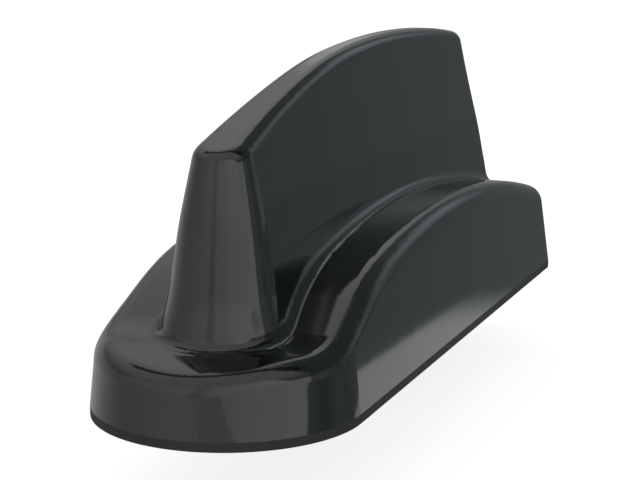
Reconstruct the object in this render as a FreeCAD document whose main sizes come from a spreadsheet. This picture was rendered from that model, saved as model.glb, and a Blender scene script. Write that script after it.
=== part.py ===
import FreeCAD, Part
import math
import os
import Sketcher

os.makedirs("parts", exist_ok=True)
doc = FreeCAD.newDocument("roof_antenna")
sizes = doc.addObject("Spreadsheet::Sheet", "sizes")
table = [
    ("overall_length", 202.0), ("overall_width", 64.0), ("overall_height", 77.2),
    ("gasket_t", 2.2), ("wall", 2.2), ("skirt_draft", 6.0), ("rear_draft", 7.5), ("rear_edge_r", 1.2),
    ("deck_z", 18.2), ("deck_r", 44.0), ("deck_tip", 26.0),
    ("rise_in", 18.5), ("rise_r", 26.0), ("rise_slope", 24.0),
    ("shoulder_r", 75.0), ("arch_drop", 15.0), ("arch_x", 14.0), ("arch_z", 36.2),
    ("rim_r", 5.2), ("cove_r", 3.0), ("crown_edge_r", 3.6),
    ("fin_half_w", 15.4), ("fin_top_half", 2.71), ("fin_nose_in", 30.0), ("crown_drop", 15.0), ("crown_x", 28.0),
    ("plate_t", 3.0), ("plate_gap", 0.6), ("rebate_w", 1.9), ("rebate_d", 1.5),
    ("seal_h", 1.7), ("seal_gap", 0.05),
    ("stud_r", 9.0), ("stud_len", 20.0), ("stud_bore_r", 6.2), ("neck_r", 9.5), ("neck_fit", 0.1),
    ("neck_z", 0.3), ("flange_r", 13.0), ("flange_t", 2.4), ("stud_lead", 1.2), ("gasket_hole_gap", 0.4),
    ("grommet_flange_r", 8.4), ("grommet_flange_t", 1.4), ("grommet_len", 16.0), ("grommet_fit", 0.05),
    ("cable_r", 1.45), ("cable_ring", 3.6),
    ("cover_nose_in", 23.0), ("cover_nose_side", 17.0), ("cover_x_mid", 8.0), ("cover_mid_side", 9.5),
    ("cover_rear_in", 15.0), ("cover_rear_side", 12.0),
    ("boss_r", 3.4), ("screw_r", 1.3), ("screw_fit", 0.05), ("screw_clear", 0.4), ("screw_len", 9.0),
    ("head_r", 2.7), ("head_h", 1.9), ("head_sink", 1.3), ("head_clear", 0.3), ("drive_r", 1.3),
    ("drive_d", 1.1), ("post_h", 3.0), ("post_r", 3.2), ("board_t", 1.6), ("board_side_in", 14.0),
    ("board_front_in", 35.0), ("board_rear_in", 22.0), ("board_hole_r", 6.0),
    ("post_front_in", 65.0), ("post_rear_in", 29.0), ("post_side_in", 18.5),
    ("board_screw_r", 1.1), ("board_screw_len", 4.5), ("board_head_r", 2.2), ("board_head_h", 1.6),
    ("fin_board_t", 1.2), ("fin_board_front_in", 67.0), ("fin_board_rear_in", 25.0), ("fin_board_low", 23.0),
    ("fin_board_drop", 12.0), ("element_t", 0.4), ("element_foot", 12.0), ("element_w", 9.0),
    ("patch_size", 25.0), ("patch_t", 4.0), ("patch_in", 50.0), ("patch_pin_r", 0.5), ("patch_pin_fit", 0.05),
    ("patch_pin_head_r", 1.0), ("patch_pin_head_h", 0.4),
    ("can_size", 12.0), ("can_h", 3.0), ("can_t", 0.4), ("can_in", 79.0), ("can_y", 9.0),
    ("wifi_x", 34.0), ("wifi_side_in", 17.5), ("wifi_len", 30.0), ("wifi_h", 15.0), ("wifi_top", 7.0),
    ("wifi_t", 0.5),
]
for row, (name, value) in enumerate(table, 1):
    sizes.set(f"A{row}", name)
    sizes.set(f"B{row}", str(value))
    sizes.setAlias(f"B{row}", name)
doc.recompute()
num = dict(table)
V = FreeCAD.Vector
places = {
    "rise_x": "overall_length / 2 - rise_in",
    "arch_r": "overall_length ^ 2 / (8 * arch_drop)",
    "crown_r": "overall_length ^ 2 / (8 * crown_drop)",
    "fin_draft": "atan((fin_half_w - fin_top_half) / (overall_height + 6))",
    "fin_nose_x": "overall_length / 2 - fin_nose_in",
    "cover_x_front": "overall_length / 2 - cover_nose_in",
    "cover_y_front": "overall_width / 2 - cover_nose_side",
    "cover_y_mid": "overall_width / 2 - cover_mid_side",
    "cover_x_rear": "overall_length / 2 - cover_rear_in",
    "cover_y_rear": "overall_width / 2 - cover_rear_side",
    "board_half_w": "overall_width / 2 - board_side_in",
    "board_front": "overall_length / 2 - board_front_in",
    "board_rear": "overall_length / 2 - board_rear_in",
    "board_screw_x_front": "overall_length / 2 - post_front_in",
    "board_screw_x_rear": "overall_length / 2 - post_rear_in",
    "board_screw_y": "overall_width / 2 - post_side_in",
    "fin_board_front": "overall_length / 2 - fin_board_front_in",
    "fin_board_rear": "overall_length / 2 - fin_board_rear_in",
    "patch_x": "overall_length / 2 - patch_in",
    "can_x": "overall_length / 2 - can_in",
    "wifi_y": "overall_width / 2 - wifi_side_in",
}


def ex(text):
    """Turn bare size and place names into references to the sheet."""
    out = ""
    word = ""
    for ch in text + " ":
        if ch.isalnum() or ch == "_":
            word += ch
            continue
        if word in places:
            word = "(" + ex(places[word]) + ")"
        out += f"sizes.{word}" if word in num else word
        word = ""
        out += ch
    return out.strip()


probe = doc.addObject("App::FeaturePython", "probe")
probe.addProperty("App::PropertyFloat", "reading")


def value_of(text):
    """The present value of a size expression."""
    probe.setExpression("reading", ex(str(text)))
    doc.recompute([probe])
    return probe.reading


def bind(obj, prop, text):
    obj.setExpression(prop, ex(str(text)))


def new_body(name):
    body = doc.addObject("PartDesign::Body", name)
    body.Label = name
    return body


def new_sketch(body, role, name, lift=None):
    sk = body.newObject("Sketcher::SketchObject", name)
    plane = [f for f in body.Origin.OriginFeatures if f.Role == role][0]
    sk.AttachmentSupport = [(plane, "")]
    sk.MapMode = "FlatFace"
    if lift is not None:
        bind(sk, "AttachmentOffset.Base.z", lift)
    return sk


def fix(sk, kind, refs, value, text):
    i = sk.addConstraint(Sketcher.Constraint(kind, *refs, value))
    bind(sk, f"Constraints[{i}]", text)


def tie(sk, kind, *refs):
    sk.addConstraint(Sketcher.Constraint(kind, *refs))


def arc(cx, cy, r, a0, a1):
    return Part.ArcOfCircle(Part.Circle(V(cx, cy, 0), V(0, 0, 1), r), a0, a1)


def seg(x0, y0, x1, y1):
    return Part.LineSegment(V(x0, y0, 0), V(x1, y1, 0))


def d_outline(sk, xc, r, back, t_xc, t_r, t_back):
    """A straight-sided outline with a half-round nose at the front."""
    sk.addGeometry(arc(xc, 0, r, -math.pi / 2, math.pi / 2), False)
    sk.addGeometry(seg(xc, r, -back, r), False)
    sk.addGeometry(seg(-back, r, -back, -r), False)
    sk.addGeometry(seg(-back, -r, xc, -r), False)
    tie(sk, "Tangent", 0, 2, 1, 1)
    tie(sk, "Coincident", 1, 2, 2, 1)
    tie(sk, "Coincident", 2, 2, 3, 1)
    tie(sk, "Tangent", 3, 2, 0, 1)
    tie(sk, "Horizontal", 1)
    tie(sk, "Horizontal", 3)
    tie(sk, "Vertical", 2)
    tie(sk, "PointOnObject", 0, 3, -1)
    fix(sk, "DistanceX", (-1, 1, 0, 3), xc, t_xc)
    fix(sk, "Radius", (0,), r, t_r)
    fix(sk, "DistanceX", (1, 2, -1, 1), back, t_back)


def pad(body, sk, length, taper=None):
    feat = body.newObject("PartDesign::Pad", sk.Name + "_pad")
    feat.Profile = sk
    bind(feat, "Length", length)
    if taper is not None:
        bind(feat, "TaperAngle", taper)
    doc.recompute()
    return feat


def cut_across(body, sk):
    """Pocket a side-view sketch through the whole width."""
    before = body.Shape.Volume
    feat = body.newObject("PartDesign::Pocket", sk.Name + "_cut")
    feat.Profile = sk
    feat.Type = "ThroughAll"
    if hasattr(feat, "SideType"):
        feat.SideType = "Symmetric"
    else:
        feat.Midplane = True
    doc.recompute()
    if not body.Shape.Volume < before - 1:
        raise RuntimeError(sk.Name + " removed nothing")
    return feat


def round_off(body, edges, radius, name):
    shape = body.Tip.Shape
    names = []
    for wanted in edges:
        for i, edge in enumerate(shape.Edges, 1):
            if edge.isSame(wanted):
                names.append(f"Edge{i}")
    feat = body.newObject("PartDesign::Fillet", name)
    feat.Base = (body.Tip if body.Tip is not feat else feat.BaseFeature, names)
    bind(feat, "Radius", radius)
    doc.recompute()
    if "Invalid" in feat.State or not feat.Shape.isValid():
        raise RuntimeError(name + " failed on " + ",".join(names))
    return feat


def faces_of(shape, edge):
    return shape.ancestorsOfType(edge, Part.Face)


def z_low(item):
    return item.BoundBox.ZMin


def moulded_form(name, k):
    """The outer form for k = 0, or the hollow one wall inside it for k = 1."""
    w = num["wall"] * k
    over = 30.0
    base_z = num["gasket_t"]
    body = new_body(name)
    half = num["overall_width"] / 2
    nose = num["overall_length"] / 2 - half
    back = num["overall_length"] / 2 + over
    sk = new_sketch(body, "XY_Plane", name + "_skirt", "gasket_t")
    d_outline(sk, nose, half - w, back, "overall_length / 2 - overall_width / 2",
              f"overall_width / 2 - {k} * wall", f"overall_length / 2 + {over}")
    pad(body, sk, "overall_height", "-skirt_draft")

    s = math.radians(num["rise_slope"])
    tip = math.radians(num["deck_tip"])
    zd = num["deck_z"] - w
    xs = value_of("rise_x")
    r0 = num["deck_r"] - w
    r1 = num["rise_r"] + w
    r2 = num["shoulder_r"] - w
    r3 = value_of("arch_r") - w
    c3 = (-num["arch_x"], num["arch_z"] - value_of("arch_r"))
    foot = (xs - r1 * math.sin(s), zd + r1 * (1 - math.cos(s)))
    wx = foot[0] - r2 * math.sin(s) - c3[0]
    wz = foot[1] - r2 * math.cos(s) - c3[1]
    along = -wx * math.cos(s) + wz * math.sin(s)
    t = -along + math.sqrt(along ** 2 - wx ** 2 - wz ** 2 + (r3 - r2) ** 2)
    c2 = (wx - t * math.cos(s) + c3[0], wz + t * math.sin(s) + c3[1])
    top2 = (c2[0] + r2 * math.sin(s), c2[1] + r2 * math.cos(s))
    a3 = math.atan2(c2[1] - c3[1], c2[0] - c3[0])
    end_x = -back
    a4 = math.pi - math.acos((-end_x + c3[0]) / r3)
    end_z = c3[1] + r3 * math.sin(a4)
    front = num["overall_length"] / 2 + 10
    ztop = num["overall_height"] + 40
    drop = (xs + r0 * math.sin(tip), zd - r0 * (1 - math.cos(tip)))
    front_z = drop[1] - (front - drop[0]) * math.tan(tip)
    sk = new_sketch(body, "XZ_Plane", name + "_arch")
    sk.addGeometry(seg(front, front_z, drop[0], drop[1]), False)
    sk.addGeometry(arc(xs, zd - r0, r0, math.pi / 2 - tip, math.pi / 2), False)
    sk.addGeometry(arc(xs, zd + r1, r1, -math.pi / 2 - s, -math.pi / 2), False)
    sk.addGeometry(seg(foot[0], foot[1], top2[0], top2[1]), False)
    sk.addGeometry(arc(c2[0], c2[1], r2, math.pi / 2 - s, a3), False)
    sk.addGeometry(arc(c3[0], c3[1], r3, a3, a4), False)
    sk.addGeometry(seg(end_x, end_z, end_x, ztop), False)
    sk.addGeometry(seg(end_x, ztop, front, ztop), False)
    sk.addGeometry(seg(front, ztop, front, front_z), False)
    tie(sk, "Tangent", 0, 2, 1, 1)
    tie(sk, "Tangent", 1, 2, 2, 2)
    tie(sk, "Tangent", 2, 1, 3, 1)
    tie(sk, "Tangent", 3, 2, 4, 1)
    tie(sk, "Tangent", 4, 2, 5, 1)
    for i in (5, 6, 7):
        tie(sk, "Coincident", i, 2, i + 1, 1)
    tie(sk, "Coincident", 8, 2, 0, 1)
    for i, kind in ((6, "Vertical"), (7, "Horizontal"), (8, "Vertical")):
        tie(sk, kind, i)
    tie(sk, "Vertical", 1, 3, 1, 2)
    fix(sk, "DistanceY", (-1, 1, 1, 2), zd, f"deck_z - {k} * wall")
    fix(sk, "DistanceX", (-1, 1, 1, 2), xs, "rise_x")
    fix(sk, "DistanceX", (-1, 1, 0, 1), front, "overall_length / 2 + 10")
    fix(sk, "Angle", (0,), math.pi - tip, "(180 - deck_tip) * 1 deg")
    fix(sk, "Radius", (1,), r0, f"deck_r - {k} * wall")
    fix(sk, "Radius", (2,), r1, f"rise_r + {k} * wall")
    fix(sk, "Radius", (4,), r2, f"shoulder_r - {k} * wall")
    fix(sk, "Radius", (5,), r3, f"arch_r - {k} * wall")
    fix(sk, "Angle", (3,), math.pi - s, "(180 - rise_slope) * 1 deg")
    fix(sk, "DistanceX", (5, 3, -1, 1), -c3[0], "arch_x")
    fix(sk, "DistanceY", (5, 3, -1, 1), -c3[1], "arch_r - arch_z")
    fix(sk, "DistanceX", (5, 2, -1, 1), -end_x, f"overall_length / 2 + {over}")
    fix(sk, "DistanceY", (-1, 1, 7, 1), ztop, "overall_height + 40")
    cut_across(body, sk)

    shape = body.Tip.Shape
    walls = [f for f in shape.Faces if z_low(f) < base_z + 0.01 and f.BoundBox.ZMax > base_z + 1
             and f.CenterOfMass.x > -back + 9]
    tops = [f for f in shape.Faces if z_low(f) > base_z + 1]
    rim = [e for e in shape.Edges
           if any(f.isSame(a) for f in walls for a in faces_of(shape, e))
           and any(f.isSame(a) for f in tops for a in faces_of(shape, e))]
    round_off(body, rim, f"rim_r - {k} * wall", name + "_rim")

    fin_w = num["fin_half_w"] - w
    sk = new_sketch(body, "XY_Plane", name + "_fin", "gasket_t")
    d_outline(sk, value_of("fin_nose_x"), fin_w, back - 8, "fin_nose_x",
              f"fin_half_w - {k} * wall", f"overall_length / 2 + {over - 8}")
    pad(body, sk, "overall_height + 6", "-fin_draft")

    rc = value_of("crown_r") - w
    cx = -num["crown_x"]
    cz = num["overall_height"] - value_of("crown_r")
    a0 = math.acos((front - cx) / rc)
    a1 = math.pi - math.acos((cx + back) / rc)
    sk = new_sketch(body, "XZ_Plane", name + "_crown")
    sk.addGeometry(arc(cx, cz, rc, a0, a1), False)
    sk.addGeometry(seg(-back, cz + rc * math.sin(a1), -back, ztop), False)
    sk.addGeometry(seg(-back, ztop, front, ztop), False)
    sk.addGeometry(seg(front, ztop, front, cz + rc * math.sin(a0)), False)
    tie(sk, "Coincident", 0, 2, 1, 1)
    tie(sk, "Coincident", 1, 2, 2, 1)
    tie(sk, "Coincident", 2, 2, 3, 1)
    tie(sk, "Coincident", 3, 2, 0, 1)
    tie(sk, "Vertical", 1)
    tie(sk, "Horizontal", 2)
    tie(sk, "Vertical", 3)
    fix(sk, "DistanceX", (0, 3, -1, 1), -cx, "crown_x")
    fix(sk, "DistanceY", (0, 3, -1, 1), -cz, "crown_r - overall_height")
    fix(sk, "Radius", (0,), rc, f"crown_r - {k} * wall")
    fix(sk, "DistanceX", (1, 1, -1, 1), back, f"overall_length / 2 + {over}")
    fix(sk, "DistanceX", (-1, 1, 2, 2), front, "overall_length / 2 + 10")
    fix(sk, "DistanceY", (-1, 1, 2, 1), ztop, "overall_height + 40")
    cut_across(body, sk)

    def fin_faces(shape):
        crown = max(shape.Faces, key=lambda f: f.CenterOfMass.z)
        sides = []
        for e in crown.Edges:
            for f in faces_of(shape, e):
                if not f.isSame(crown) and f.CenterOfMass.x > -back + 12:
                    sides.append(f)
        return crown, sides

    shape = body.Tip.Shape
    crown, sides = fin_faces(shape)
    cove = []
    for f in sides:
        for e in f.Edges:
            near = [a for a in faces_of(shape, e) if not a.isSame(f)]
            if any(a.isSame(b) for a in near for b in sides + [crown]):
                continue
            if near and near[0].CenterOfMass.x > -back + 12:
                cove.append(e)
    round_off(body, cove, f"cove_r + {k} * wall", name + "_cove")
    shape = body.Tip.Shape
    crown, sides = fin_faces(shape)
    edges = [e for e in crown.Edges if any(f.isSame(a) for f in sides for a in faces_of(shape, e))]
    round_off(body, edges, f"crown_edge_r - {k} * wall", name + "_crown_edge")

    lean = math.tan(math.radians(num["rear_draft"]))
    half_l = num["overall_length"] / 2
    x0 = half_l + lean * num["gasket_t"] - w
    x1 = x0 - lean * ztop
    sk = new_sketch(body, "XZ_Plane", name + "_rear")
    sk.addGeometry(seg(-x0, 0, -x1, ztop), False)
    sk.addGeometry(seg(-x1, ztop, -back - 20, ztop), False)
    sk.addGeometry(seg(-back - 20, ztop, -back - 20, 0), False)
    sk.addGeometry(seg(-back - 20, 0, -x0, 0), False)
    for i in range(4):
        tie(sk, "Coincident", i, 2, (i + 1) % 4, 1)
    tie(sk, "Horizontal", 1)
    tie(sk, "Vertical", 2)
    tie(sk, "PointOnObject", 3, 1, -1)
    tie(sk, "Horizontal", 3)
    flat = "tan(rear_draft * 1 deg)"
    fix(sk, "DistanceX", (0, 1, -1, 1), x0, f"overall_length / 2 + gasket_t * {flat} - {k} * wall")
    fix(sk, "DistanceX", (0, 2, -1, 1), x1,
        f"overall_length / 2 + (gasket_t - overall_height - 40) * {flat} - {k} * wall")
    fix(sk, "DistanceX", (2, 1, -1, 1), back + 20, f"overall_length / 2 + {over + 20}")
    fix(sk, "DistanceY", (-1, 1, 1, 1), ztop, "overall_height + 40")
    cut_across(body, sk)
    if k == 0:
        shape = body.Tip.Shape
        rear = min(shape.Faces, key=lambda f: f.CenterOfMass.x)
        edges = [e for e in rear.Edges if e.BoundBox.ZMax > base_z + 0.5]
        round_off(body, edges, "rear_edge_r", name + "_rear_edge")
    return body


def place(obj, x, y, z):
    for axis, text in zip("xyz", (x, y, z)):
        bind(obj, f"Placement.Base.{axis}", text)
    return obj


def cyl(name, r, h, x, y, z):
    obj = doc.addObject("Part::Cylinder", name)
    bind(obj, "Radius", r)
    bind(obj, "Height", h)
    return place(obj, x, y, z)


def box(name, dx, dy, dz, x, y, z):
    obj = doc.addObject("Part::Box", name)
    bind(obj, "Length", dx)
    bind(obj, "Width", dy)
    bind(obj, "Height", dz)
    return place(obj, x, y, z)


def hexagon(name, r, h, x, y, z):
    obj = doc.addObject("Part::Prism", name)
    obj.Polygon = 6
    bind(obj, "Circumradius", r)
    bind(obj, "Height", h)
    return place(obj, x, y, z)


def fuse(name, items):
    obj = doc.addObject("Part::MultiFuse", name)
    obj.Shapes = items
    obj.Label = name
    return obj


def common(name, one, two):
    obj = doc.addObject("Part::Common", name)
    obj.Base = one
    obj.Tool = two
    return obj


def cut(name, one, two):
    obj = doc.addObject("Part::Cut", name)
    obj.Base = one
    obj.Tool = two
    obj.Label = name
    return obj


def group(name, items):
    obj = doc.addObject("Part::Compound", name)
    obj.Links = items
    obj.Label = name
    return obj


def polygon_body(name, role, points, length, lift=None):
    """Pad a closed outline of straight lines; each point is a pair of size expressions."""
    body = new_body(name)
    sk = new_sketch(body, role, name + "_outline", lift)
    xy = [(value_of(px), value_of(py)) for px, py in points]
    n = len(xy)
    for i in range(n):
        (x0, y0), (x1, y1) = xy[i], xy[(i + 1) % n]
        sk.addGeometry(seg(x0, y0, x1, y1), False)
    for i in range(n):
        tie(sk, "Coincident", i, 2, (i + 1) % n, 1)
    for i, (px, py) in enumerate(points):
        pin_point(sk, i, "DistanceX", xy[i][0], px)
        pin_point(sk, i, "DistanceY", xy[i][1], py)
    if length:
        pad(body, sk, length)
    return body, sk


def pin_point(sk, i, kind, value, text):
    if value >= 0:
        fix(sk, kind, (-1, 1, i, 1), value, text)
    else:
        fix(sk, kind, (i, 1, -1, 1), -value, f"-({text})")


outer = moulded_form("outer_form", 0)
inner = moulded_form("inner_form", 1)

plate_top = "gasket_t + plate_t"
board_z = "gasket_t + plate_t + post_h"
board_top = "gasket_t + plate_t + post_h + board_t"
covers = [("cover_x_front", "cover_y_front"), ("cover_x_front", "-cover_y_front"),
          ("cover_x_mid", "cover_y_mid"), ("cover_x_mid", "-cover_y_mid"),
          ("-cover_x_rear", "cover_y_rear"), ("-cover_x_rear", "-cover_y_rear")]
holds = [("board_screw_x_front", "board_screw_y"), ("board_screw_x_front", "-board_screw_y"),
         ("-board_screw_x_rear", "board_screw_y"), ("-board_screw_x_rear", "-board_screw_y")]

shell = cut("shell", outer, inner)
bosses = fuse("bosses", [cyl(f"boss_{i}", "boss_r", "overall_height / 2", x, y, plate_top)
                         for i, (x, y) in enumerate(covers)])
posts = common("boss_posts", outer, bosses)
pilots = fuse("boss_pilots", [cyl(f"boss_pilot_{i}", "screw_r + screw_fit", "screw_len", x, y, plate_top)
                              for i, (x, y) in enumerate(covers)])
radome = cut("radome", fuse("shell_bossed", [shell, posts]), pilots)

nose_x = "overall_length / 2 - overall_width / 2"


def d_body(name, inset, lift, height, corner=None):
    """A flat slab with the outline of the base, drawn in by an inset."""
    body = new_body(name)
    sk = new_sketch(body, "XY_Plane", name + "_outline", lift)
    off = value_of(inset)
    d_outline(sk, value_of(nose_x), num["overall_width"] / 2 - off, num["overall_length"] / 2 - off,
              nose_x, f"overall_width / 2 - ({inset})", f"overall_length / 2 - ({inset})")
    pad(body, sk, height)
    if corner:
        edges = [e for e in body.Tip.Shape.Edges
                 if e.BoundBox.ZLength > 0.1 and e.BoundBox.XMax < -num["overall_length"] / 4]
        round_off(body, edges, corner, name + "_corner")
    return body


pad_slab = d_body("gasket_slab", "0", "0", "gasket_t", "rear_edge_r")
pad_holes = [cyl("gasket_stud_hole", "neck_r + gasket_hole_gap", "gasket_t + 2", "0", "0", "-1")]
pad_holes += [cyl(f"gasket_hole_{i}", "head_r + head_clear + gasket_hole_gap", "gasket_t + 2", x, y, "-1")
              for i, (x, y) in enumerate(covers)]
roof_gasket = cut("roof_gasket", pad_slab, fuse("gasket_holes", pad_holes))

slab_low = d_body("plate_low", "wall + plate_gap", "gasket_t", "plate_t - rebate_d", "rear_edge_r")
slab_high = d_body("plate_high", "wall + plate_gap + rebate_w", "gasket_t", "plate_t", "rear_edge_r")
plate_posts = [cyl(f"plate_post_{i}", "post_r", "plate_t + post_h", x, y, "gasket_t")
               for i, (x, y) in enumerate(holds)]
plate_solid = fuse("plate_solid", [slab_low, slab_high] + plate_posts)
plate_holes = [cyl("plate_stud_hole", "neck_r + neck_fit", "plate_t + 2", "0", "0", "gasket_t - 1")]
for i, (x, y) in enumerate(covers):
    plate_holes.append(cyl(f"plate_hole_{i}", "screw_r + screw_clear", "plate_t + 2", x, y, "gasket_t - 1"))
    plate_holes.append(cyl(f"plate_sink_{i}", "head_r + head_clear", "head_sink + 1", x, y, "gasket_t - 1"))
for i, (x, y) in enumerate(holds):
    plate_holes.append(cyl(f"post_pilot_{i}", "board_screw_r + screw_fit", "post_h + 1", x, y, plate_top))
base_plate = cut("base_plate", plate_solid, fuse("plate_holes", plate_holes))

seal_z = "gasket_t + plate_t - rebate_d"
seal_in = "wall + (plate_t - rebate_d + seal_h) * tan(rear_draft * 1 deg) + seal_gap"
seal_slab = d_body("seal_slab", seal_in, seal_z, "seal_h", "rear_edge_r")
seal_void = d_body("seal_void", "wall + plate_gap + rebate_w - seal_gap", seal_z, "seal_h", "rear_edge_r")
perimeter_seal = cut("perimeter_seal", seal_slab, seal_void)

stud_body, stud_sk = polygon_body("mounting_stud", "XZ_Plane", [
    ("stud_bore_r", "-stud_len"), ("stud_r - stud_lead", "-stud_len"), ("stud_r", "stud_lead - stud_len"),
    ("stud_r", "neck_z"), ("neck_r", "neck_z"), ("neck_r", plate_top), ("flange_r", plate_top),
    ("flange_r", f"{plate_top} + flange_t"), ("stud_bore_r", f"{plate_top} + flange_t")], None)
turn = stud_body.newObject("PartDesign::Revolution", "mounting_stud_turn")
turn.Profile = stud_sk
turn.ReferenceAxis = (stud_sk, ["V_Axis"])
turn.Angle = 360
doc.recompute()
mounting_stud = stud_body

plug = fuse("plug", [cyl("plug_core", "stud_bore_r - grommet_fit", "grommet_len + grommet_flange_t", "0", "0",
                         "-stud_len - grommet_flange_t"),
                     cyl("plug_flange", "grommet_flange_r", "grommet_flange_t", "0", "0",
                         "-stud_len - grommet_flange_t")])
ports = fuse("plug_ports", [cyl(f"plug_port_{i}", "cable_r", "grommet_len + grommet_flange_t + 4",
                                f"cable_ring * cos({72 * i} deg)", f"cable_ring * sin({72 * i} deg)",
                                "-stud_len - grommet_flange_t - 2") for i in range(5)])
cable_grommet = cut("cable_grommet", plug, ports)

sheet = box("board_sheet", "board_front + board_rear", "2 * board_half_w", "board_t",
            "-board_rear", "-board_half_w", board_z)
board_holes = [cyl("board_cable_hole", "board_hole_r", "board_t + 2", "0", "0", f"{board_z} - 1")]
board_holes += [cyl(f"board_hole_{i}", "board_screw_r + screw_clear", "board_t + 2", x, y, f"{board_z} - 1")
                for i, (x, y) in enumerate(holds)]
main_board = cut("main_board", sheet, fuse("board_holes", board_holes))

fin_top = "overall_height - fin_board_drop"
fin_board, fin_sk = polygon_body("fin_board", "XZ_Plane", [
    ("-fin_board_rear", board_top), ("fin_board_front", board_top),
    ("fin_board_front", "overall_height - fin_board_low"), ("fin_board_front / 3", f"{fin_top} - 2"),
    ("-fin_board_rear", fin_top)], "fin_board_t", "-fin_board_t / 2")

low = f"{board_top} + element_foot"
high = "overall_height - fin_board_low - 4"
main_el, main_sk = polygon_body("cellular_element_main", "XZ_Plane", [
    ("-8", f"{board_top} + 1"), ("-4", f"{board_top} + 1"), ("-4", low), ("fin_board_front - 4", low),
    ("fin_board_front - 4", high), ("6", high), ("6", f"{high} - element_w"),
    ("fin_board_front - 4 - element_w", f"{high} - element_w"),
    ("fin_board_front - 4 - element_w", f"{low} + element_w"), ("-8", f"{low} + element_w")],
    "element_t", "-fin_board_t / 2 - element_t")
aux_el, aux_sk = polygon_body("cellular_element_aux", "XZ_Plane", [
    ("-40", f"{board_top} + 1"), ("-36", f"{board_top} + 1"), ("-36", low), ("-14", low),
    ("-14", f"{high} + 4"), ("-fin_board_rear + 4", f"{high} + 4"), ("-fin_board_rear + 4", f"{low} + element_w"),
    ("-fin_board_rear + 4 + element_w", f"{low} + element_w"), ("-fin_board_rear + 4 + element_w", low),
    ("-40", low)], "element_t", "fin_board_t / 2")

patch_box = box("patch_block", "patch_size", "patch_size", "patch_t", "patch_x - patch_size / 2",
                "-patch_size / 2", board_top)
patch_hole = cyl("patch_hole", "patch_pin_r + patch_pin_fit", "patch_t + 2", "patch_x", "2", f"{board_top} - 1")
gnss_patch = cut("gnss_patch", patch_box, patch_hole)
gnss_pin = fuse("gnss_pin", [
    cyl("pin_shank", "patch_pin_r", "patch_t", "patch_x", "2", board_top),
    cyl("pin_head", "patch_pin_head_r", "patch_pin_head_h", "patch_x", "2", f"{board_top} + patch_t")])

can_out = box("can_outer", "can_size", "can_size", "can_h", "can_x - can_size / 2", "can_y - can_size / 2",
              board_top)
can_in = box("can_inner", "can_size - 2 * can_t", "can_size - 2 * can_t", "can_h - can_t",
             "can_x - can_size / 2 + can_t", "can_y - can_size / 2 + can_t", board_top)
amplifier_can = cut("amplifier_can", can_out, can_in)


def wifi(name, sign):
    low_y = "wifi_y" if sign > 0 else "-wifi_y - wifi_t"
    top_y = "wifi_y - wifi_top" if sign > 0 else "-wifi_y - wifi_t"
    upright = box(name + "_upright", "wifi_len", "wifi_t", "wifi_h", "-wifi_x - wifi_len / 2", low_y, board_top)
    ledge = box(name + "_ledge", "wifi_len", "wifi_top + wifi_t", "wifi_t", "-wifi_x - wifi_len / 2", top_y,
                f"{board_top} + wifi_h - wifi_t")
    return fuse(name, [upright, ledge])


wifi_left = wifi("wifi_element_left", 1)
wifi_right = wifi("wifi_element_right", -1)


def screw(name, r, length, head_r, head_h, x, y, shank_z, head_z, drive_z):
    body = fuse(name + "_body", [cyl(name + "_shank", r, length, x, y, shank_z),
                                 cyl(name + "_head", head_r, head_h, x, y, head_z)])
    return cut(name, body, hexagon(name + "_drive", "drive_r", "drive_d", x, y, drive_z))


head_low = "gasket_t + head_sink - head_h"
cover_screws = group("cover_screws", [
    screw(f"cover_screw_{i}", "screw_r", "screw_len", "head_r", "head_h", x, y, "gasket_t + head_sink",
          head_low, head_low) for i, (x, y) in enumerate(covers)])
board_screws = group("board_screws", [
    screw(f"board_screw_{i}", "board_screw_r", "board_screw_len", "board_head_r", "board_head_h", x, y,
          f"{board_top} - board_screw_len", board_top, f"{board_top} + board_head_h - drive_d")
    for i, (x, y) in enumerate(holds)])

doc.recompute()
for obj in doc.Objects:
    if "Invalid" in obj.State or "Error" in obj.State:
        raise RuntimeError(obj.Name + " did not build")
nodes = [radome, base_plate, roof_gasket, perimeter_seal, mounting_stud, cable_grommet, main_board, fin_board,
         main_el, aux_el, gnss_patch, gnss_pin, amplifier_can, wifi_left, wifi_right, cover_screws, board_screws]
for obj in nodes:
    if not obj.Shape.isValid() or obj.Shape.Volume <= 0 or not obj.Shape.Solids:
        raise RuntimeError(obj.Label + " has no valid solid")
for obj in nodes:
    obj.Shape.exportStep(f"parts/{obj.Label}.step")
    print(obj.Label, len(obj.Shape.Solids), round(obj.Shape.Volume, 1))
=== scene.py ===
import math

import bpy
import numpy as np
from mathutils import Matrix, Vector


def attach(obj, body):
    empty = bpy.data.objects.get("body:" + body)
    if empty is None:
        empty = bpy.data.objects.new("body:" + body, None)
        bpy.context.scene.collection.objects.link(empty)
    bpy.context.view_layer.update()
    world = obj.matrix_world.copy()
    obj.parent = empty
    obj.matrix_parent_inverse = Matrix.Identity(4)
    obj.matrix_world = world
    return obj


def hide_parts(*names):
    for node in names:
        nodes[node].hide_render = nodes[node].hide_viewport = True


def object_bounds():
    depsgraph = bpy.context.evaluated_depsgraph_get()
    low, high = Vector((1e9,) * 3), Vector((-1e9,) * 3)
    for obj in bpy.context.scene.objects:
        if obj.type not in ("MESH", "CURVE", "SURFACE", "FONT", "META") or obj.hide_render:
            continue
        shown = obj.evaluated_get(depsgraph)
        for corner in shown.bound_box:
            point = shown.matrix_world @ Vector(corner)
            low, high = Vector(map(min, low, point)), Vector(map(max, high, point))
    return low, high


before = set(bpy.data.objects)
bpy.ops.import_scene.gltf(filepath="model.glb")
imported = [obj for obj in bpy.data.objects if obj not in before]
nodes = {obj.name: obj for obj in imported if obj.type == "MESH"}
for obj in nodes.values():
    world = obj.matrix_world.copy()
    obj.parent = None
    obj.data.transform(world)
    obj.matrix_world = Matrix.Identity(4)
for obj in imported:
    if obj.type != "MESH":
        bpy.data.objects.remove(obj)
cad_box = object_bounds()
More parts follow.
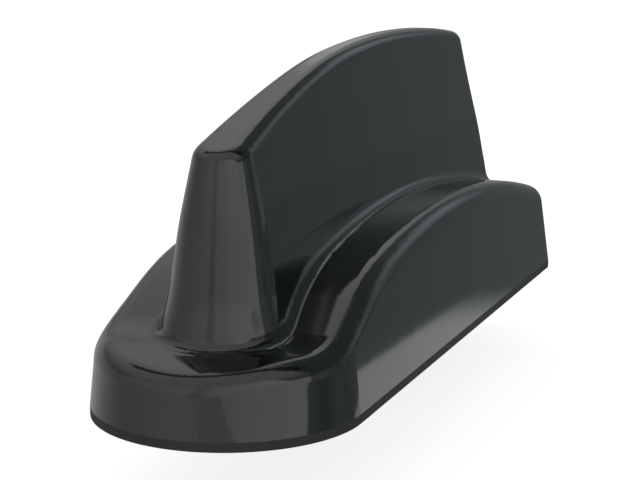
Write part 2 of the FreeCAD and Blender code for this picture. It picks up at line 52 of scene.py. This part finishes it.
scene = bpy.context.scene
MM = 0.001
DEGREES = 180 / math.pi


class Sock:
    """A shader socket that takes Python arithmetic."""

    def __init__(self, tree, out):
        self.tree = tree
        self.out = out

    def math(self, operation, *others):
        return self.tree.node("ShaderNodeMath", {"operation": operation}, dict(enumerate((self, *others))))

    def __add__(self, other):
        return self.math("ADD", other)

    __radd__ = __add__

    def __sub__(self, other):
        return self.math("SUBTRACT", other)

    def __rsub__(self, other):
        return self.tree.node("ShaderNodeMath", {"operation": "SUBTRACT"}, {0: other, 1: self})

    def __mul__(self, other):
        return self.math("MULTIPLY", other)

    __rmul__ = __mul__

    def __truediv__(self, other):
        return self.math("DIVIDE", other)

    def __gt__(self, other):
        return self.math("GREATER_THAN", other)

    def __lt__(self, other):
        return self.math("LESS_THAN", other)


class Tree:
    """One node tree, filled by node()."""

    def __init__(self, owner):
        owner.use_nodes = True
        self.graph = owner.node_tree
        self.graph.nodes.clear()

    def node(self, kind, settings=None, inputs=None, out=0):
        made = self.graph.nodes.new(kind)
        for key, value in (settings or {}).items():
            if key == "stops":
                self.set_stops(made.color_ramp.elements, value)
            else:
                setattr(made, key, value)
        for key, value in (inputs or {}).items():
            self.feed(made.inputs[key], value)
        return Sock(self, made.outputs[out]) if made.outputs else None

    def feed(self, socket, value):
        if isinstance(value, Sock):
            self.graph.links.new(value.out, socket)
        else:
            socket.default_value = value

    def set_stops(self, elements, stops):
        """A new ramp already has two stops, and the rest are added."""
        for i, (place, colour) in enumerate(stops):
            stop = elements[i] if i < 2 else elements.new(place)
            stop.position = place
            stop.color = (*colour, 1)

    def ease(self, value, low, high):
        """From 0 at low to 1 at high, with soft ends."""
        return self.node("ShaderNodeMapRange", {"interpolation_type": "SMOOTHSTEP"},
                         {0: value, 1: low, 2: high, 3: 0.0, 4: 1.0})

    def band(self, value, start, full, fading, gone):
        """A band that comes in from start to full and goes out from fading to gone."""
        return self.ease(value, start, full) * (1 - self.ease(value, fading, gone))

    def noise(self, where, scale, detail=3.0, rough=0.5):
        return self.node("ShaderNodeTexNoise", {},
                         {"Vector": where, "Scale": scale, "Detail": detail, "Roughness": rough})

    def blend(self, factor, a, b):
        a, b = (end if isinstance(end, Sock) else (*end, 1) for end in (a, b))
        return self.node("ShaderNodeMix", {"data_type": "RGBA"}, {0: factor, 6: a, 7: b}, out=2)


class Finish(Tree):
    """A material on one Principled shader, in the object's own coordinates."""

    def __init__(self, name):
        self.mat = bpy.data.materials.new(name)
        super().__init__(self.mat)
        self.shader = self.graph.nodes.new("ShaderNodeBsdfPrincipled")
        surface = self.graph.nodes.new("ShaderNodeOutputMaterial")
        self.graph.links.new(self.shader.outputs[0], surface.inputs[0])
        self.at = self.node("ShaderNodeTexCoord", out=3)

    def set(self, **inputs):
        for key, value in inputs.items():
            self.feed(self.shader.inputs[key.replace("_", " ")], value)

    def bump(self, height, distance, strength):
        self.set(Normal=self.node("ShaderNodeBump", {},
                                  {"Strength": strength, "Distance": distance, "Height": height}))


def gloss_black():
    f = Finish("gloss_black_moulding")
    black, dust_grey = (0.0042, 0.0047, 0.0049), (0.09, 0.09, 0.088)
    peel = f.noise(f.at, scale=160.0, detail=2.0)
    haze = f.noise(f.at, scale=45.0, detail=4.0, rough=0.6)
    dust = f.ease(f.noise(f.at, scale=1900.0, detail=2.0), low=0.70, high=0.82)
    f.set(Base_Color=f.blend(dust * 0.05, black, dust_grey),
          Roughness=0.045 + haze * 0.05 + dust * 0.04, IOR=1.5)
    f.bump(peel, distance=0.02 * MM, strength=0.25)
    return f.mat


def matt_rubber(name, tone):
    f = Finish(name)
    dark, light = (tone * 0.8, tone * 0.8, tone * 0.82), (tone * 1.3, tone * 1.3, tone * 1.3)
    grain = f.noise(f.at, scale=2600.0)
    cloud = f.noise(f.at, scale=120.0)
    f.set(Base_Color=f.blend(cloud, dark, light), Roughness=0.66 + grain * 0.2, IOR=1.42)
    f.bump(grain, distance=0.08 * MM, strength=0.6)
    return f.mat


def cast_alloy():
    f = Finish("cast_alloy")
    dark, light = (0.36, 0.365, 0.37), (0.47, 0.475, 0.48)
    pits = f.noise(f.at, scale=900.0, detail=4.0, rough=0.65)
    cloud = f.noise(f.at, scale=60.0)
    f.set(Base_Color=f.blend(cloud, dark, light), Metallic=1.0, Roughness=0.38 + pits * 0.2)
    f.bump(pits, distance=0.1 * MM, strength=0.5)
    return f.mat


def turned_metal(name, dark, light, rough, ring_scale):
    """Metal with fine rings from the lathe, round the Z axis."""
    f = Finish(name)
    z = f.node("ShaderNodeSeparateXYZ", {}, {0: f.at}, out=2)
    rings = f.node("ShaderNodeTexNoise", {"noise_dimensions": "1D"},
                   {"W": z * ring_scale, "Scale": 1.0, "Detail": 3.0})
    stain = f.noise(f.at, scale=220.0, detail=4.0)
    f.set(Base_Color=f.blend(stain, dark, light), Metallic=1.0,
          Roughness=rough + rings * 0.12 + stain * 0.08)
    f.bump(rings, distance=0.03 * MM, strength=0.4)
    return f.mat


def sheet_metal(name, dark, light, rough):
    """Rolled sheet, with its brush marks along X."""
    f = Finish(name)
    rolled = f.node("ShaderNodeMapping", {}, {"Vector": f.at, "Scale": (30.0, 900.0, 900.0)})
    brush = f.noise(rolled, scale=1.0, detail=4.0)
    stain = f.noise(f.at, scale=150.0, detail=4.0)
    f.set(Base_Color=f.blend(stain, dark, light), Metallic=1.0, Roughness=rough + brush * 0.15)
    f.bump(brush, distance=0.02 * MM, strength=0.4)
    return f.mat


def board_resist():
    """Green solder resist, with paler lines where it runs over tracks."""
    f = Finish("board_resist")
    over_track, dark, light = (0.05, 0.19, 0.085), (0.016, 0.085, 0.035), (0.022, 0.105, 0.045)
    cells = f.node("ShaderNodeTexVoronoi", {"feature": "DISTANCE_TO_EDGE", "distance": "MANHATTAN"},
                   {"Vector": f.at, "Scale": 240.0})
    between_tracks = f.ease(cells, low=0.04, high=0.07)
    cloud = f.noise(f.at, scale=400.0, detail=2.0)
    f.set(Base_Color=f.blend(between_tracks, over_track, f.blend(cloud, dark, light)),
          Roughness=0.32 + cloud * 0.12, IOR=1.5)
    f.bump(1 - between_tracks, distance=0.03 * MM, strength=0.5)
    return f.mat


def fired_ceramic():
    f = Finish("fired_ceramic")
    dark, light = (0.55, 0.49, 0.39), (0.67, 0.61, 0.50)
    grain = f.noise(f.at, scale=1500.0, detail=4.0, rough=0.7)
    cloud = f.noise(f.at, scale=90.0, detail=2.0)
    f.set(Base_Color=f.blend(cloud, dark, light), Roughness=0.45 + grain * 0.25)
    f.bump(grain, distance=0.04 * MM, strength=0.5)
    return f.mat


def clean_start():
    if bpy.context.object and bpy.context.object.mode != "OBJECT":
        bpy.ops.object.mode_set(mode="OBJECT")
    bpy.ops.object.select_all(action="DESELECT")


# Radii and levels of the stud, in millimetres.
BORE_R, SHANK_R, COLLAR_R, FLANGE_R = 6.2, 9.0, 9.5, 13.0
FREE_END, SHANK_TOP, FLANGE_LOW, STUD_TOP = -20.0, 0.3, 5.2, 7.6
LEAD_IN, FLANGE_EDGE, BROKEN_EDGE = 1.2, 0.3, 0.4
STUD_PROFILE = [
    (BORE_R, FREE_END + BROKEN_EDGE), (BORE_R + BROKEN_EDGE, FREE_END),
    (SHANK_R - LEAD_IN, FREE_END), (SHANK_R, FREE_END + LEAD_IN), (SHANK_R, SHANK_TOP),
    (COLLAR_R, SHANK_TOP), (COLLAR_R, FLANGE_LOW),
    (FLANGE_R - FLANGE_EDGE, FLANGE_LOW), (FLANGE_R, FLANGE_LOW + FLANGE_EDGE),
    (FLANGE_R, STUD_TOP - BROKEN_EDGE), (FLANGE_R - BROKEN_EDGE, STUD_TOP),
    (BORE_R + BROKEN_EDGE, STUD_TOP), (BORE_R, STUD_TOP - BROKEN_EDGE),
]


def clamped(value):
    return min(1.0, max(0.0, value))


def thread_radius(turn, z):
    """The thread's radius in millimetres at a share of a turn and a height, with a run-out at its top."""
    pitch, core_r, root_flat, slope = 1.5, 8.08, 0.12, 0.72
    runout_end, runout = SHANK_TOP - 2.2, 1.5
    through_pitch = (z / pitch - turn) % 1.0
    tooth = clamped((abs(through_pitch - 0.5) * 2 - root_flat) / slope)
    depth = clamped((runout_end - z) / runout)
    return SHANK_R - (SHANK_R - core_r) * (1 - tooth) * depth


def threaded_stud():
    """The stud turned as one profile, with the thread cut into its free end."""
    shank_cuts, turn_steps = 167, 96
    near, weld, shank_band, top_margin = 1e-6, 1e-5, 0.1, 0.05
    first_r, first_z = STUD_PROFILE[0]
    clean_start()
    bpy.ops.mesh.primitive_plane_add(size=1 * MM, location=(first_r * MM, 0, first_z * MM))
    stud = bpy.context.object
    stud.name = "threaded_stud"
    bpy.ops.object.transform_apply(location=True)
    bpy.ops.object.mode_set(mode="EDIT")
    bpy.ops.mesh.merge(type="CENTER")
    bpy.ops.mesh.select_all(action="SELECT")
    for (r0, z0), (r1, z1) in zip(STUD_PROFILE, STUD_PROFILE[1:] + STUD_PROFILE[:1]):
        step = ((r1 - r0) * MM, 0, (z1 - z0) * MM)
        bpy.ops.mesh.extrude_region_move(TRANSFORM_OT_translate={"value": step})
    bpy.ops.mesh.select_all(action="DESELECT")
    bpy.ops.object.mode_set(mode="OBJECT")
    for edge in stud.data.edges:
        ends = (stud.data.vertices[i].co for i in edge.vertices)
        edge.select = all(abs(end.x - SHANK_R * MM) < near for end in ends)
    bpy.ops.object.mode_set(mode="EDIT")
    bpy.ops.mesh.select_mode(type="EDGE")
    bpy.ops.mesh.subdivide(number_cuts=shank_cuts)
    bpy.ops.mesh.select_mode(type="VERT")
    bpy.ops.mesh.select_all(action="SELECT")
    bpy.ops.mesh.spin(steps=turn_steps, dupli=False, angle=2 * math.pi, center=(0, 0, 0), axis=(0, 0, 1))
    bpy.ops.mesh.select_all(action="SELECT")
    bpy.ops.mesh.remove_doubles(threshold=weld)
    bpy.ops.object.mode_set(mode="OBJECT")
    for vertex in stud.data.vertices:
        radius = math.hypot(vertex.co.x, vertex.co.y) / MM
        z = vertex.co.z / MM
        if abs(radius - SHANK_R) < shank_band and z < SHANK_TOP - top_margin:
            turn = math.atan2(vertex.co.y, vertex.co.x) / (2 * math.pi)
            scale = thread_radius(turn, z) / radius
            vertex.co.x *= scale
            vertex.co.y *= scale
    bpy.ops.object.mode_set(mode="EDIT")
    bpy.ops.mesh.select_all(action="SELECT")
    bpy.ops.mesh.normals_make_consistent(inside=False)
    bpy.ops.object.mode_set(mode="OBJECT")
    bpy.ops.object.shade_smooth_by_angle(angle=math.radians(28))
    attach(stud, "root")
    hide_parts("mounting_stud")
    return stud


# The fin as the frame has it: a straight taper along a spine, which ends in a round nose.
SPINE_END, FOOT_HALF, TAPER = 71.0 * MM, 15.7 * MM, 0.1525


def rise_between(value, low, high):
    """From 0 at low to 1 at high, both in millimetres, with soft ends."""
    t = np.clip((value / MM - low) / (high - low), 0.0, 1.0)
    return t * t * (3 - 2 * t)


def fall_between(value, low, high):
    return 1 - rise_between(value, low, high)


def filled_out(points):
    """Where points of the cover go when the plain fin gets full flanks, a flared foot and a full crown."""
    fuller, flare = 1.28 * MM, 1.1 * MM
    front_lift, front_at, front_spread, rear_lift = 0.5 * MM, 14.0 * MM, 22.0 * MM, 1.5 * MM
    headroom_share, tiny = 0.6, 1e-9
    x, y, z = points.T
    ahead = np.maximum(x - SPINE_END, 0.0)
    reach = np.maximum(np.hypot(ahead, y), tiny)
    flank = FOOT_HALF - TAPER * z
    outside = reach - flank

    flanks = fuller * fall_between(outside, 1, 7) * rise_between(z, 14, 18) * fall_between(z, 40, 69)
    foot = flare * fall_between(outside, 2, 6) * rise_between(z, 13, 17) * fall_between(z, 18, 30)
    foot = foot * rise_between(x, 58, 74)
    spread = (flanks + foot) * np.minimum(reach / flank, 1.0)

    lift = front_lift * np.exp(-((x - front_at) / front_spread) ** 2) + rear_lift * rise_between(-x, 40, 110)
    headroom = headroom_share * np.maximum(cad_box[1][2] - z, 0.0)
    lift = np.minimum(lift * rise_between(z, 48, 68), headroom)

    moved = points.copy()
    moved[:, 0] += spread * ahead / reach
    moved[:, 1] += spread * y / reach
    moved[:, 2] += lift
    return moved


def read(items, field, width=3, kind=float):
    """One field of a mesh's items, as an array with a row for each."""
    values = np.empty(len(items) * width, dtype=kind)
    items.foreach_get(field, values)
    return values.reshape(-1, width)


def points_of_corners(mesh):
    return read(mesh.loops, "vertex_index", width=1, kind=int).ravel()


def turned_facing(points, facing, moved):
    """The surface's normals after the move, from two short steps along it at each point."""
    step, level_enough = 0.02 * MM, 0.9
    upright, forward = [[0.0, 0.0, 1.0]], [[1.0, 0.0, 0.0]]
    side = np.cross(facing, np.where(np.abs(facing[:, 2:]) < level_enough, upright, forward))
    side /= np.linalg.norm(side, axis=1, keepdims=True)
    first = filled_out(points + step * side) - moved
    second = filled_out(points + step * np.cross(facing, side)) - moved
    turned = np.cross(first, second)
    return turned / np.linalg.norm(turned, axis=1, keepdims=True)


def full_cover():
    """The cover again, cut into thin slices and filled out, with its smooth normals carried along."""
    slice_gap, weld = 2.0, 1e-6
    slices = [("Z", 20.0, 77.0), ("X", 56.0, 97.0), ("Y", -24.0, 25.0)]
    clean_start()
    mesh = nodes["radome"].data.copy()
    cover = bpy.data.objects.new("full_cover", mesh)
    scene.collection.objects.link(cover)
    bpy.context.view_layer.objects.active = cover
    cover.select_set(True)

    facing = np.empty((len(mesh.vertices), 3))
    facing[points_of_corners(mesh)] = read(mesh.corner_normals, "vector")
    mesh.attributes.new("facing", "FLOAT_VECTOR", "POINT").data.foreach_set("vector", facing.ravel())
    bpy.ops.object.mode_set(mode="EDIT")
    for axis, low, high in slices:
        across = Vector([axis == name for name in "XYZ"])
        for level in np.arange(low, high, slice_gap):
            bpy.ops.mesh.select_all(action="SELECT")
            bpy.ops.mesh.bisect(plane_co=across * level * MM, plane_no=across)
    bpy.ops.object.mode_set(mode="OBJECT")

    points = read(mesh.vertices, "co")
    moved = filled_out(points)
    facing = turned_facing(points, read(mesh.attributes["facing"].data, "vector"), moved)
    mesh.vertices.foreach_set("co", moved.ravel())
    at_corners = facing[points_of_corners(mesh)]
    corner_data = mesh.attributes.new("facing_corner", "FLOAT_VECTOR", "CORNER").data
    corner_data.foreach_set("vector", at_corners.ravel())
    bpy.ops.object.mode_set(mode="EDIT")
    bpy.ops.mesh.select_all(action="SELECT")
    bpy.ops.mesh.remove_doubles(threshold=weld)
    bpy.ops.object.mode_set(mode="OBJECT")

    at_corners = read(mesh.attributes["facing_corner"].data, "vector")
    for name in ("facing", "facing_corner"):
        mesh.attributes.remove(mesh.attributes[name])
    mesh.normals_split_custom_set(at_corners.tolist())
    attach(cover, "root")
    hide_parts("radome")
    return cover


def assign(obj, mat):
    obj.data.materials.clear()
    obj.data.materials.append(mat)


gloss = gloss_black()
rubber = matt_rubber("black_rubber", tone=0.011)
seal = matt_rubber("seal_rubber", tone=0.05)
plated = turned_metal("plated_stud", (0.55, 0.54, 0.50), (0.66, 0.64, 0.60), rough=0.2, ring_scale=1800.0)
zinc = turned_metal("zinc_screw", (0.48, 0.49, 0.50), (0.60, 0.60, 0.60), rough=0.28, ring_scale=1500.0)
copper = sheet_metal("copper_sheet", (0.62, 0.33, 0.21), (0.78, 0.44, 0.29), rough=0.25)
tinned = sheet_metal("tinned_sheet", (0.56, 0.57, 0.58), (0.68, 0.69, 0.69), rough=0.24)
alloy = cast_alloy()
resist = board_resist()
ceramic = fired_ceramic()
for name, mat in {
    "radome": gloss, "roof_gasket": rubber, "cable_grommet": rubber, "perimeter_seal": seal,
    "base_plate": alloy, "mounting_stud": plated, "cover_screws": zinc, "board_screws": zinc,
    "main_board": resist, "fin_board": resist, "cellular_element_main": copper,
    "cellular_element_aux": copper, "gnss_patch": ceramic, "gnss_pin": tinned, "amplifier_can": tinned,
    "wifi_element_left": tinned, "wifi_element_right": tinned,
}.items():
    assign(nodes[name], mat)
assign(threaded_stud(), plated)
assign(full_cover(), gloss)

# The studio's tones by bearing in degrees, round from +X towards +Y.
# The rear left has its own tones on the walls and on the floor.
FRONT = [(-180, 0.20), (-170, 0.26), (-160, 0.28), (-151, 0.28), (-142, 0.45), (-120, 0.62), (-80, 0.60),
         (-40, 0.95), (-8, 1.15), (19, 1.25), (45, 1.5), (94, 1.65)]
REAR_LEFT_WALL = [(97, 0.52), (105, 0.58), (114, 0.42), (123, 0.30), (131, 0.38), (139, 0.53), (147, 0.45),
                  (155, 0.24), (180, 0.20)]
REAR_LEFT_FLOOR = [(97, 0.46), (106, 0.36), (114, 0.28), (126, 0.38), (138, 0.25), (150, 0.22), (180, 0.20)]
WHITE, COOL = (1, 1, 1), (0.86, 1.0, 1.03)


def tone_round(tree, turn, rear_left, gap_depth):
    """How bright the studio is at each bearing, from -180 to 180 degrees, with a soft gap ahead."""
    ramp_top, gap_at = 2, -4
    ramp = [((degrees + 180) / 360, (tone / ramp_top,) * 3) for degrees, tone in FRONT + rear_left]
    tone = ramp_top * tree.node("ShaderNodeValToRGB", {"stops": ramp}, {0: turn / 360 + 0.5})
    gap = 1 - tree.ease((turn - gap_at).math("ABSOLUTE"), low=1.0, high=11.0)
    return tone * (1 - gap * gap_depth)


def bearings(tree, y, x):
    """The bearing from -180 to 180 degrees, and again from 0 to 360."""
    turn = tree.node("ShaderNodeMath", {"operation": "ARCTAN2"}, {0: y, 1: x}) * DEGREES
    return turn, turn + 360 * (turn < 0)


def rear_left_side(tree, bearing):
    return tree.band(bearing, 95, 97, 180, 187)


def light_world():
    """Walls low down, a light that grows towards the top, and a dim rear left with a dark slot overhead."""
    sky_low, sky_gain, dim_sky, dim_glow = 0.28, 0.8, 0.24, 0.5
    wall_gain, wall_gap, slot_depth = 0.16, 0.28, 0.85
    lamp_bearing, lamp_tone, front_lift = 200.5, 0.36, 30
    world = bpy.data.worlds.new("studio")
    scene.world = world
    t = Tree(world)
    way = t.node("ShaderNodeTexCoord")
    x, y, z = (t.node("ShaderNodeSeparateXYZ", {}, {0: way}, out=i) for i in range(3))
    camera = t.node("ShaderNodeLightPath")
    turn, bearing = bearings(t, y, x)
    rise = t.node("ShaderNodeMath", {"operation": "ARCSINE"}, {0: z}) * DEGREES

    over = t.ease(rise - front_lift * t.ease(x, 0.2, 0.5), 8, 22)
    dim = rear_left_side(t, bearing) * (1 - t.ease(rise, 60, 78))
    glow = t.band(bearing, 135, 152, 168, 178) * t.band(rise, 3, 14, 20, 34)
    sky = (sky_low + sky_gain * t.ease(rise, 8, 52)) * (1 - dim) + dim * (dim_sky + dim_glow * glow)
    walls = tone_round(t, turn, REAR_LEFT_WALL, wall_gap) * (1 + wall_gain * t.ease(rise, 6, 16))
    slot = t.band(x, -0.36, -0.26, -0.12, -0.04) * t.ease(rise, 45, 52)
    lamp = (1 - t.ease((bearing - lamp_bearing).math("ABSOLUTE"), 2, 5)) * t.band(rise, 2, 12, 20, 36)
    level = (walls * (1 - over) + sky * over) * (1 - slot_depth * slot) + lamp_tone * lamp
    light = t.node("ShaderNodeBackground", {}, {"Color": t.blend(dim * (1 - camera), WHITE, COOL),
                                                "Strength": level * (1 - camera) + camera})
    t.node("ShaderNodeOutputWorld", {}, {0: light})


def pale_floor():
    """White to the camera, and toned round a point ahead of the nose where the gloss reflects it."""
    floor_size, below_object = 6.0, 0.2 * MM
    centre, middle_tone, floor_gap = 114 * MM, 0.6, 0.12
    strip_turn, strip_pivot, strip_tone = 0.055, -70 * MM, 0.9
    floor_grey, camera_tone, camera_share = 0.86, 1.28, 0.65
    clean_start()
    bpy.ops.mesh.primitive_plane_add(size=floor_size, location=(0, 0, cad_box[0][2] - below_object))
    floor = bpy.context.object
    floor.name = "floor"
    mat = bpy.data.materials.new("floor_white")
    t = Tree(mat)
    at = t.node("ShaderNodeTexCoord", out=3)
    x, y = (t.node("ShaderNodeSeparateXYZ", {}, {0: at}, out=i) for i in range(2))
    from_centre = x - centre
    turn, bearing = bearings(t, y, from_centre)

    strip_out = y - strip_turn * (x - strip_pivot)
    strip = t.ease(x, -200 * MM, -125 * MM) * (1 - t.ease(strip_out, 92.5 * MM, 95.5 * MM)) * (y > 0)
    middle = 1 - t.ease((from_centre * from_centre + y * y).math("SQRT"), 1 * MM, 8 * MM)
    tone = tone_round(t, turn, REAR_LEFT_FLOOR, floor_gap)
    tone = tone * (1 - strip) + strip_tone * strip
    tone = tone * (1 - middle) + middle_tone * middle
    dim = rear_left_side(t, bearing) * (1 - strip)
    camera = t.node("ShaderNodeLightPath")
    glossy = t.node("ShaderNodeLightPath", out=3)
    plain = t.node("ShaderNodeBsdfDiffuse", {}, {"Color": (floor_grey, floor_grey, floor_grey, 1)})
    shine = t.node("ShaderNodeEmission", {}, {"Color": t.blend(dim * glossy, WHITE, COOL),
                                              "Strength": tone * glossy + camera_tone * camera})
    mix = t.node("ShaderNodeMixShader", {}, {0: camera * camera_share + glossy, 1: plain, 2: shine})
    t.node("ShaderNodeOutputMaterial", {}, {0: mix})
    floor.data.materials.append(mat)


def place_camera():
    azimuth, elevation, distance = math.radians(111.24), math.radians(12.01), 463.3 * MM
    target = Vector((12.07, 0.0, 28.25)) * MM
    sensor_width, focal_pixels, picture_pixels, nearest = 36.0, 1814.8, 640.0, 10 * MM
    camera = bpy.data.cameras.new("camera")
    obj = bpy.data.objects.new("camera", camera)
    scene.collection.objects.link(obj)
    back = Vector((math.sin(azimuth) * math.cos(elevation), -math.cos(azimuth) * math.cos(elevation),
                   math.sin(elevation)))
    obj.location = target + back * distance
    obj.rotation_euler = back.to_track_quat("Z", "Y").to_euler()
    camera.sensor_width = sensor_width
    camera.lens = sensor_width * focal_pixels / picture_pixels
    camera.clip_start = nearest
    scene.camera = obj


light_world()
pale_floor()
place_camera()
scene.view_settings.view_transform = "Standard"
